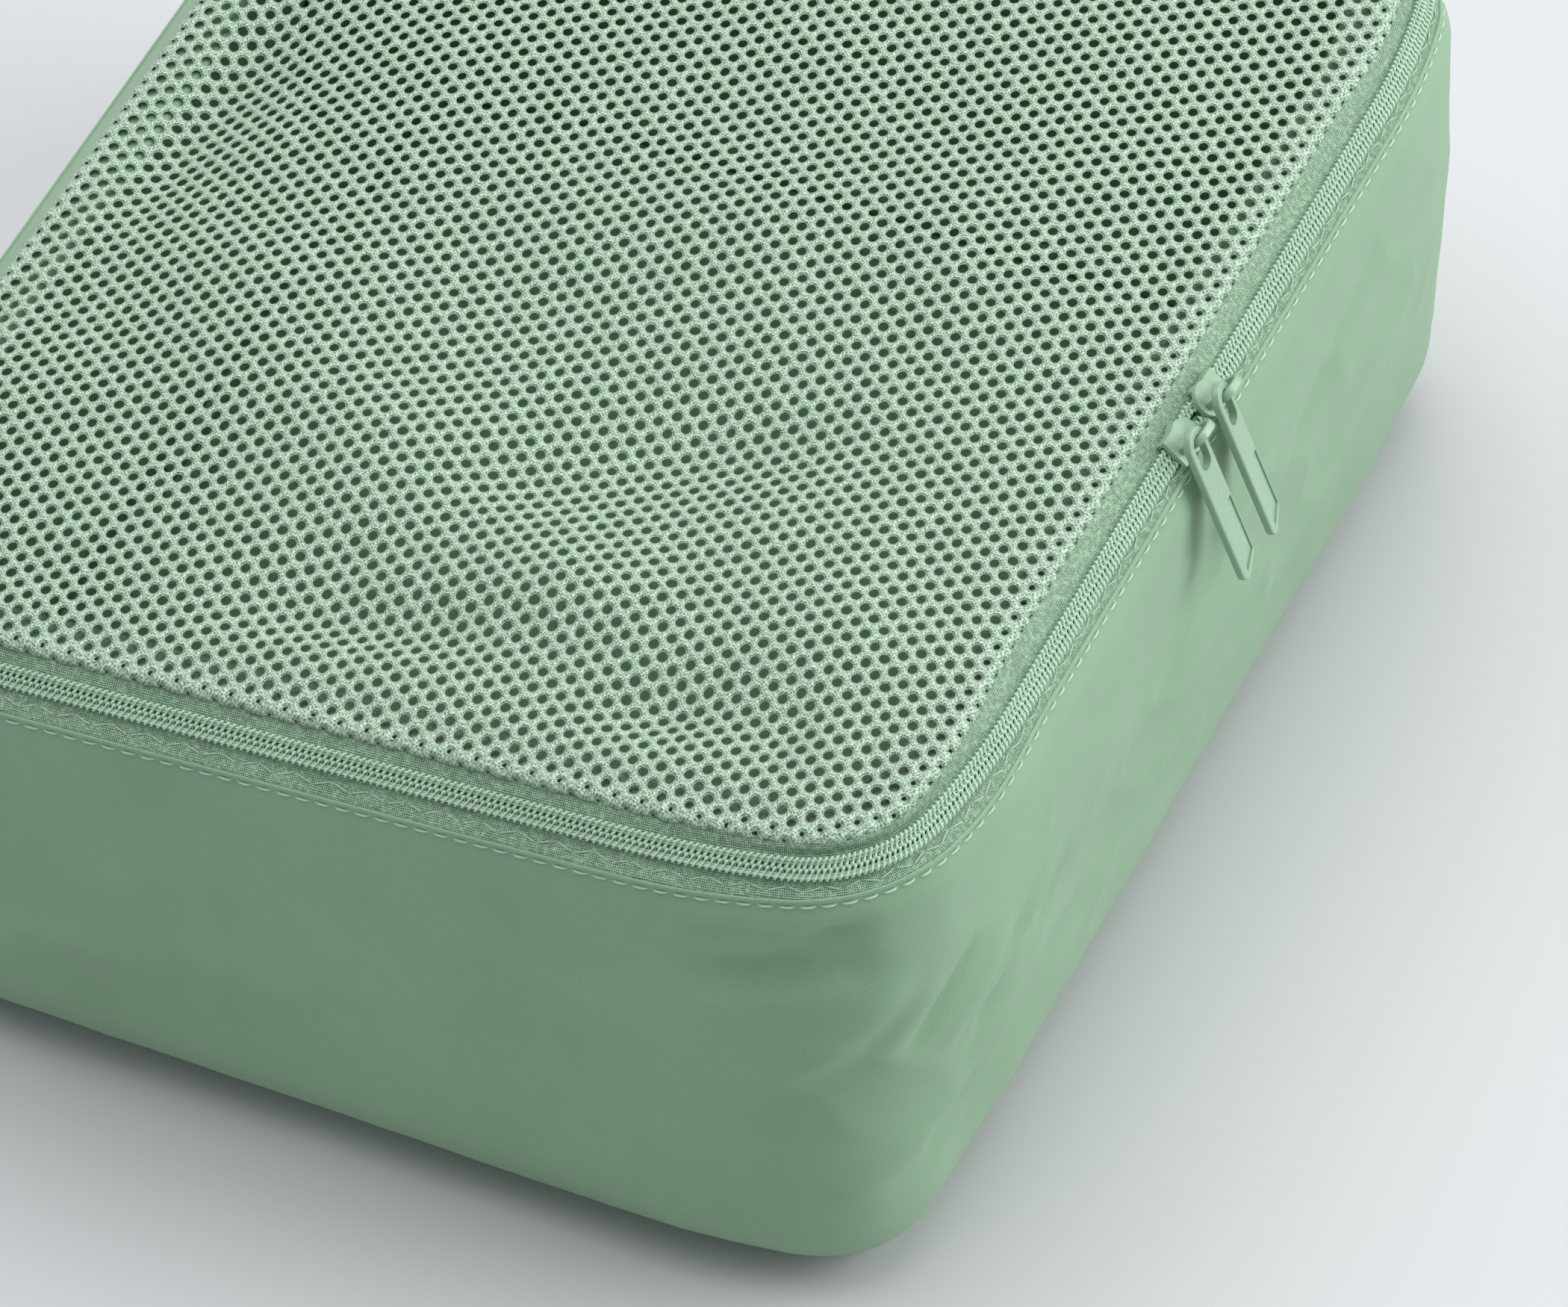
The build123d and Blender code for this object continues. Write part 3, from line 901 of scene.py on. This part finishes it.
def lower_tape_surface(s):
    """The case's tape: a flap sewn down behind the wall, then the part that shows."""
    drops = np.array(TAPE_FLAP_DROPS)
    edge = hem_along(s) + 0.1
    plan, normal = route(s)
    inset = shoulder_inset + edge / ROOT2 + tape_behind_wall
    flap_plan = np.broadcast_to(plan - normal * inset[:, None], (len(drops), len(s), 2))
    flap = on_lid(flap_plan, edge / ROOT2 - drops[:, None])
    share = np.linspace(0, 1, 12)[:, None]
    along = edge + (lower_tape_edge - edge) * share
    grid_s = np.broadcast_to(s, along.shape)
    shown = shoulder(grid_s, along, 0.12 * soft_noise(grid_s, along * 3, 12.0, 43))
    flap_place = np.stack([np.broadcast_to(s, (len(drops), len(s))), edge - drops[:, None]], -1)
    place = np.concatenate([flap_place, np.stack([grid_s, along], -1)])
    return np.concatenate([flap, shown]), place


def make_tapes():
    s = route_columns(2.0)
    alongs = np.linspace(upper_tape_start, upper_tape_edge, 12)
    upper = with_allowance(s, *strip_surface(s, alongs, 0.0, upper_tape_relief))
    upper_width = upper_tape_edge - upper_tape_start + tape_allowance
    for name, node, (points, place), width, body in (
        ("lower_tape", "lower_zipper_tape", lower_tape_surface(s), lower_tape_width, "case"),
        ("upper_tape", "upper_zipper_tape", upper, upper_width, "lid"),
    ):
        piece = cloth_strip(name, points, cloth_thickness, tape, place)
        seat(piece, body, node, "zipper_tape", flat=(width * MM, (s[-1] - s[0]) * MM),
             held="stretched", rests_on=["wall_cloth"])


def chain_spread(s):
    """How far each coil stands off the middle: open only between the two sliders."""
    near = np.abs(s - slider_pair_middle)
    return open_chain * (1 - smooth_step(near, 1.0, 3.2))


def join_into(target, other):
    """Move the other piece's mesh into the target and remove the other."""
    mesh = bmesh.new()
    mesh.from_mesh(target.data)
    mesh.from_mesh(other.data)
    mesh.to_mesh(target.data)
    mesh.free()
    bpy.data.objects.remove(other)


def coil_point(s, side, outward, above):
    """Point of one coil: outward is its distance from the chain's middle."""
    return shoulder(s, chain_middle + side * (outward + chain_spread(s)), above)


def make_coil(name, node, body, side, phase):
    """One side of the zipper: nylon turns that stand high outside and dip towards their heads.

    side is 1 for the lid's coil, up the slope, and -1 for the case's.
    """
    end = half_route - hinge_half
    turns = int(2 * end / tooth_pitch) - 1
    steps = 12
    theta = np.arange(turns * steps + 1) * 2 * math.pi / steps
    s = -end + tooth_pitch * (theta / (2 * math.pi) + phase)
    inner = 0.5 * (1 + np.cos(theta))
    outward = coil_outer - (coil_outer - coil_inner) * inner
    s = s + side * coil_slant * (1 - inner) ** 1.5
    rise = 0.5 * (1 + side * np.sin(theta))
    crest = wire_crest - wire_dip * bump_at(inner, 0.60, 0.22)
    above = wire_bed + crest * rise
    path = coil_point(s, side, outward, above)[None]
    _, normal = route(s)
    guide = (-normal[:, 1:] * lid_x + normal[:, :1] * lid_y)[None]
    radii = wire_radius + wire_flank_swell * (1 - inner) * rise + wire_head_swell * inner ** 6
    coil = tubes(name, path, path_frames(path, guide), radii[None], plastic)
    cord_s = np.arange(-end, end, 1.6)
    for outward, above, radius in COIL_CORDS:
        cord_path = coil_point(cord_s, side, outward, above + 0 * cord_s)[None]
        _, cord_normal = route(cord_s)
        cord_guide = (cord_normal[:, :1] * lid_x + cord_normal[:, 1:] * lid_y)[None]
        cord = tubes(name + "_cord", cord_path, path_frames(cord_path, cord_guide), radius, plastic)
        join_into(coil, cord)
    seat(coil, body, node, "coil")


def make_stitches(name, s, along, above, length, radius, body, lean=0.0, down_wall=None):
    """A row of separate stitches: short threads that dip into the cloth at both ends."""
    steps = np.linspace(-0.5, 0.5, 5)
    s_path = s[:, None] + steps * length
    dip = -1.6 * radius * (np.abs(steps) * 2) ** 3
    if down_wall is None:
        paths = shoulder(s_path, along + steps * lean, above + np.broadcast_to(dip, s_path.shape))
    else:
        paths = down_wall(s_path, dip)
    _, normal = route(s_path)
    up = normal[..., :1] * lid_x + normal[..., 1:] * lid_y + lid_z
    frames = path_frames(paths, up / np.linalg.norm(up, axis=-1, keepdims=True))
    radii = radius * (1 - 0.35 * (np.abs(steps) * 2) ** 4)
    piece = tubes(name, paths, frames, np.broadcast_to(radii, s_path.shape), thread)
    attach(piece, body)


def on_wall_stitch_line(s_path, dip):
    """Points of the topstitch row just below the wall's folded edge."""
    rows = wall_rows()
    row = int(np.argmin(np.abs(rows - stitch_line)))
    points, _ = wall_surface(s_path.ravel(), rows)
    _, normal = route(s_path)
    points = points[row].reshape(s_path.shape + (3,))
    points[..., :2] += normal * (wall_thread_lift + dip)[..., None]
    return points


def make_topstitch():
    """The topstitch row under the folded edge, on the band and then on the hinge side."""
    end = half_route - hinge_half
    pitch = topstitch_pitch
    for name, first, last in (
        ("wall_topstitch", -end, end),
        ("hinge_topstitch", half_route - hinge_half, half_route + hinge_half),
    ):
        s = np.arange(first + pitch, last - pitch, pitch)
        make_stitches(name, s, 0, 0, topstitch_length, wall_thread, "case",
                      down_wall=on_wall_stitch_line)


def tape_thread_line(s):
    """Place up the slope of the pale threads, midway between the hem and the coil."""
    return 0.5 * (hem_along(s) + coil_foot) + 0.3


def tape_room(s):
    """Share of the lower tape's full width that shows beside the hem."""
    return (coil_foot - hem_along(s)) / widest_tape_room


def make_tape_threads():
    """Pale threads that zigzag along the lower tape."""
    turn = tape_thread_turn
    end = half_route - hinge_half
    s = np.arange(-end + turn, end - turn, turn)
    lean = np.where(np.arange(len(s)) % 2, tape_thread_lean, -tape_thread_lean)
    lean = lean * (0.5 + 0.5 * tape_room(s))
    make_stitches("lower_tape_threads", s, tape_thread_line(s)[:, None], 0.10, turn, tape_thread,
                  "case", lean=lean[:, None])


make_lid_mesh()
make_tapes()
make_tape_threads()
make_coil("upper_coil_turns", "upper_coil", "lid", 1, 0.0)
make_coil("lower_coil_turns", "lower_coil", "case", -1, 0.5)
make_topstitch()

# ---- ribbons, gusset and end tabs
ribbon_thickness = 0.45
narrowest_sheet = 10.0  # the sheet size given for a ribbon is at least this wide
binding_inset = 2.8  # keeps the bottom ribbon inside the turn of the walls
# section of the ribbon folded over the bottom seam: inset and height
BOTTOM_RIBBON = [
    (10.6, 1.9), (10.5, 3.4), (10.5, 5.0), (10.6, 6.3), (11.0, 7.0),
    (11.5, 7.0), (11.9, 6.3), (12.0, 5.0), (12.0, 3.4), (11.9, 1.9),
]
ribbon_columns = 440
ribbon_end = half_route - 0.5
side_ribbon_half, side_ribbon_crown = 4, 0.5
side_ribbon_rows, hinge_ribbon_rows = (16, 50), (9, 15)
hinge_ribbon_margin = 8.0
lid_ribbon_insets, lid_ribbon_level = (11.2, 15.0), 7.6
lid_ribbon_turns = 45.0  # how much shorter the lid's ribbon is than the outline
gusset_seam, gusset_lip = 10.6, 0.8
tab_start, tab_length, tab_half_width, tab_middle = 0.6, 10.0, 2.6, 6.5
tab_lift = 0.55
TAB_BARS = (1.6, 3.4, 6.6, 8.4)  # stitch bars along each end tab
seam_start = half_route - hinge_half
seam_end = half_route + hinge_half


def ribbon(name, node, body, points, place, width, length, rests_on):
    """Thin folded ribbon whose outer face is a grid of points."""
    piece = cloth_strip(name, points, ribbon_thickness, binding, place)
    seat(piece, body, node, "binding", flat=(max(width, narrowest_sheet) * MM, length * MM),
         held="folded", rests_on=[rests_on], area=width * length * MM * MM)


def make_bottom_binding():
    """Ribbon folded over the seam allowance that stands round the bottom."""
    section = np.array(BOTTOM_RIBBON)
    s = np.linspace(-ribbon_end, ribbon_end, ribbon_columns)
    plan, normal = route(s)
    free = section[:, 1:] / section[:, 1].max()
    sway = 0.5 * soft_noise(s, 0 * s, 16.0, 61)
    leaning = binding_inset + right_lean(s)
    inset = section[:, :1] + leaning + sway * free
    level = section[:, 1:] + 0.25 * soft_noise(s, 0 * s, 9.0, 62) * free
    outer = plan - normal * inset[..., None]
    points = np.concatenate([outer, level[..., None]], -1)
    steps = np.hypot(*np.diff(section, axis=0).T)
    across = np.concatenate([[0], np.cumsum(steps)])
    place = np.stack(np.meshgrid(s, across), -1)
    ribbon("bottom_seam_ribbon", "bottom_seam_binding", "case", points, place, across[-1],
           2 * half_route, "bottom_cloth")


def inside_wall(s, rows, gap):
    """Grid of points a gap inside the inner face of the wall cloth, facing the contents."""
    points, place = wall_surface(s, wall_rows())
    points = points[slice(*rows)]
    _, normal = route(s)
    points[..., :2] -= normal * (wall_thickness + gap)
    return points, place[slice(*rows)]


def joined_strips(name, strips, thickness):
    """One piece of binding cloth from two grids of points and places."""
    piece, other = (
        cloth_strip(name + end, points, thickness, binding, place)
        for end, (points, place) in zip(("", "_front"), strips)
    )
    join_into(piece, other)
    return piece


def make_side_bindings():
    """Ribbons over the two seams where the band meets the hinge side."""
    strips = []
    for middle in (seam_start, -seam_start):
        across = np.linspace(-1, 1, 9)
        points, place = inside_wall(middle + side_ribbon_half * across, side_ribbon_rows, 1.0)
        crown = side_ribbon_crown * (1 - across ** 2)
        points[..., 0] += crown + 0.25 * soft_noise(place[..., 0], place[..., 1], 8.0, 63)
        strips.append((points, place))
    piece = joined_strips("side_seam_ribbons", strips, ribbon_thickness)
    seat(piece, "case", "side_seam_bindings", "binding")


def make_hinge_binding():
    """Ribbon inside the top of the hinge side, over the gusset's seam."""
    reach = hinge_half - hinge_ribbon_margin
    s = np.linspace(half_route - reach, half_route + reach, 110)
    points, place = inside_wall(s, hinge_ribbon_rows, 0.9)
    points[..., 0] += 0.3 * soft_noise(place[..., 0], place[..., 1], 11.0, 64)
    width = place[-1, 0, 1] - place[0, 0, 1]
    ribbon("hinge_seam_ribbon", "hinge_seam_binding", "case", points, place, width, 2 * reach,
           "hinge_wall_cloth")


def make_lid_binding():
    """Ribbon under the lid cloth's edge, over the raw edges of the tape and mesh."""
    s = np.linspace(-ribbon_end, ribbon_end, ribbon_columns)
    grid_s, inset = np.meshgrid(s, np.linspace(*lid_ribbon_insets, 6))
    plan, normal = route(grid_s)
    place = plan - normal * inset[..., None]
    level = lid_ribbon_level + 0.2 * soft_noise(grid_s, inset * 2, 12.0, 65)
    points = on_lid(place, under_lid(place, level, 1.0))
    width = lid_ribbon_insets[1] - lid_ribbon_insets[0]
    ribbon("lid_seam_ribbon", "lid_seam_binding", "lid", points, np.stack([grid_s, inset], -1), width,
           2 * half_route - lid_ribbon_turns, "upper_tape")


def gusset_relief(s, along):
    """Waves of the gusset, flat where it is sewn, with a dip along its topstitched seam."""
    held = smooth_step(along, 0.5, 4.0)
    seam = -0.25 * bump_at(along, gusset_seam, 0.5)
    return held * (0.35 * soft_noise(s, along * 1.5, 15.0, 71) + 0.2) + seam


def make_gusset():
    """The unzipped cloth of the left side: it folds along the top of the left wall."""
    s = np.linspace(seam_start + 0.4, seam_end - 0.4, 130)
    alongs = np.concatenate([np.linspace(-gusset_lip, 3.2, 12), np.linspace(3.8, upper_tape_edge, 12)])
    points, place = with_allowance(s, *strip_surface(s, alongs, -0.1, gusset_relief))
    piece = cloth_strip("hinge_gusset_cloth", points, cloth_thickness, nylon, place)
    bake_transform(piece)
    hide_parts("hinge_gusset")
    stitch_s = np.arange(seam_start + 13.0, seam_end - 12.0, topstitch_pitch)
    make_stitches("gusset_topstitch", stitch_s, gusset_seam, 0.22, topstitch_length, 0.2, "lid")


def make_end_tabs():
    """Folded tabs sewn over the two ends of the zipper."""
    lows = (seam_start + tab_start, seam_end - tab_start - tab_length)
    strips = []
    for low in lows:
        share, ends = np.linspace(-1, 1, 12), np.linspace(-1, 1, 14)
        arch = tab_lift * (1 - share ** 4)[:, None] * (1 - 0.35 * np.abs(ends) ** 6)
        alongs = tab_middle + tab_half_width * share
        grid_s, grid_along = np.meshgrid(low + np.linspace(0, tab_length, 14), alongs)
        above = tab_lift + arch + 0.08 * soft_noise(grid_s, grid_along, 3.0, 72)
        strips.append((shoulder(grid_s, grid_along, above), np.stack([grid_s, grid_along], -1)))
    piece = joined_strips("zipper_end_cloth", strips, cloth_thickness)
    seat(piece, "lid", "zipper_end_tabs", "binding")
    bars = np.array([low + place for low in lows for place in TAB_BARS])
    make_stitches("end_tab_stitches", bars, tab_middle, 1.16, 0.3, 0.18, "lid", lean=3.4)


make_bottom_binding()
make_side_bindings()
make_hinge_binding()
make_lid_binding()
make_gusset()
make_end_tabs()


# ---- painted metal
def softened_copy(node, name, body, rounding, crease):
    """Copy of a hard CAD node, its edges rounded over and creased above an angle in degrees."""
    source = frame["nodes"][node]
    mesh = bmesh.new()
    mesh.from_mesh(source.data)
    mesh.transform(source.matrix_world)
    bmesh.ops.remove_doubles(mesh, verts=mesh.verts, dist=1e-6)
    if rounding:
        bmesh.ops.dissolve_limit(mesh, angle_limit=math.radians(1.5), verts=mesh.verts, edges=mesh.edges)
    sharp = [edge for edge in mesh.edges if edge.is_manifold and edge.calc_face_angle(0) > math.radians(40)]
    if rounding:
        bmesh.ops.bevel(mesh, geom=sharp, offset=rounding * MM, segments=3, profile=0.5, affect="EDGES",
                        clamp_overlap=True)
    bmesh.ops.triangulate(mesh, faces=[face for face in mesh.faces if len(face.verts) > 4])
    bmesh.ops.recalc_face_normals(mesh, faces=mesh.faces)
    data = bpy.data.meshes.new(name)
    mesh.to_mesh(data)
    mesh.free()
    data.polygons.foreach_set("use_smooth", np.full(len(data.polygons), True))
    data.set_sharp_from_angle(angle=math.radians(crease))
    data.materials.append(paint)
    piece = bpy.data.objects.new(name, data)
    bpy.context.scene.collection.objects.link(piece)
    seat(piece, body, node, "painted_metal")


casting_edge, strap_edge = 0.22, 0.18
casting_crease, pull_crease = 38, 16
for end in ("front", "back"):
    slider = f"slider_{end}"
    softened_copy(f"slider_body_{end}", f"{slider}_casting", slider, casting_edge, casting_crease)
    softened_copy(f"slider_bridge_{end}", f"{slider}_strap", slider, strap_edge, casting_crease)
    softened_copy(f"pull_tab_{end}", f"pull_{end}_tab", f"pull_{end}", 0, pull_crease)


# ---- stage, light and camera
def make_floor():
    mesh = bpy.data.meshes.new("floor")
    reach = 4.0
    corners = [(-reach, -reach, 0), (reach, -reach, 0), (reach, reach, 0), (-reach, reach, 0)]
    mesh.from_pydata(corners, [], [(0, 1, 2, 3)])
    floor = bpy.data.objects.new("floor", mesh)
    bpy.context.scene.collection.objects.link(floor)
    shader = Shader("studio_floor", 0.65)
    shader.set("Base Color", (0.600, 0.614, 0.640, 1.0))
    mesh.materials.append(shader.material)


def area_light(name, place, target, size, power, colour):
    data = bpy.data.lights.new(name, "AREA")
    data.shape = "SQUARE"
    data.size = size
    data.energy = power
    data.color = colour
    light = bpy.data.objects.new(name, data)
    light.location = place
    light.rotation_euler = (Vector(target) - Vector(place)).to_track_quat("-Z", "Y").to_euler()
    bpy.context.scene.collection.objects.link(light)


def make_world():
    world = bpy.data.worlds.new("studio")
    world.use_nodes = True
    background = world.node_tree.nodes["Background"]
    background.inputs[0].default_value = (0.97, 0.98, 1.0, 1.0)
    background.inputs[1].default_value = 0.39
    bpy.context.scene.world = world


def make_camera():
    data = bpy.data.cameras.new("camera")
    data.lens = 274.29
    data.sensor_width = 36.0
    data.clip_start = 0.1
    data.clip_end = 20.0
    camera = bpy.data.objects.new("camera", data)
    camera.location = (0.62433, -1.33122, 1.51544)
    forward = Vector((-0.2852, 0.6351, -0.7179))
    camera.rotation_euler = forward.to_track_quat("-Z", "Y").to_euler()
    bpy.context.scene.collection.objects.link(camera)
    bpy.context.scene.camera = camera


make_floor()
make_world()
area_light("key", (1.6, 0.8, 0.85), (0, 0, 0.06), 1.5, 30.5, (1.0, 0.985, 0.965))
area_light("overhead", (-0.5, 0.3, 2.4), (0, 0, 0.05), 3.0, 62.0, (1.0, 0.99, 0.99))
make_camera()
bpy.context.scene.view_settings.view_transform = "Standard"
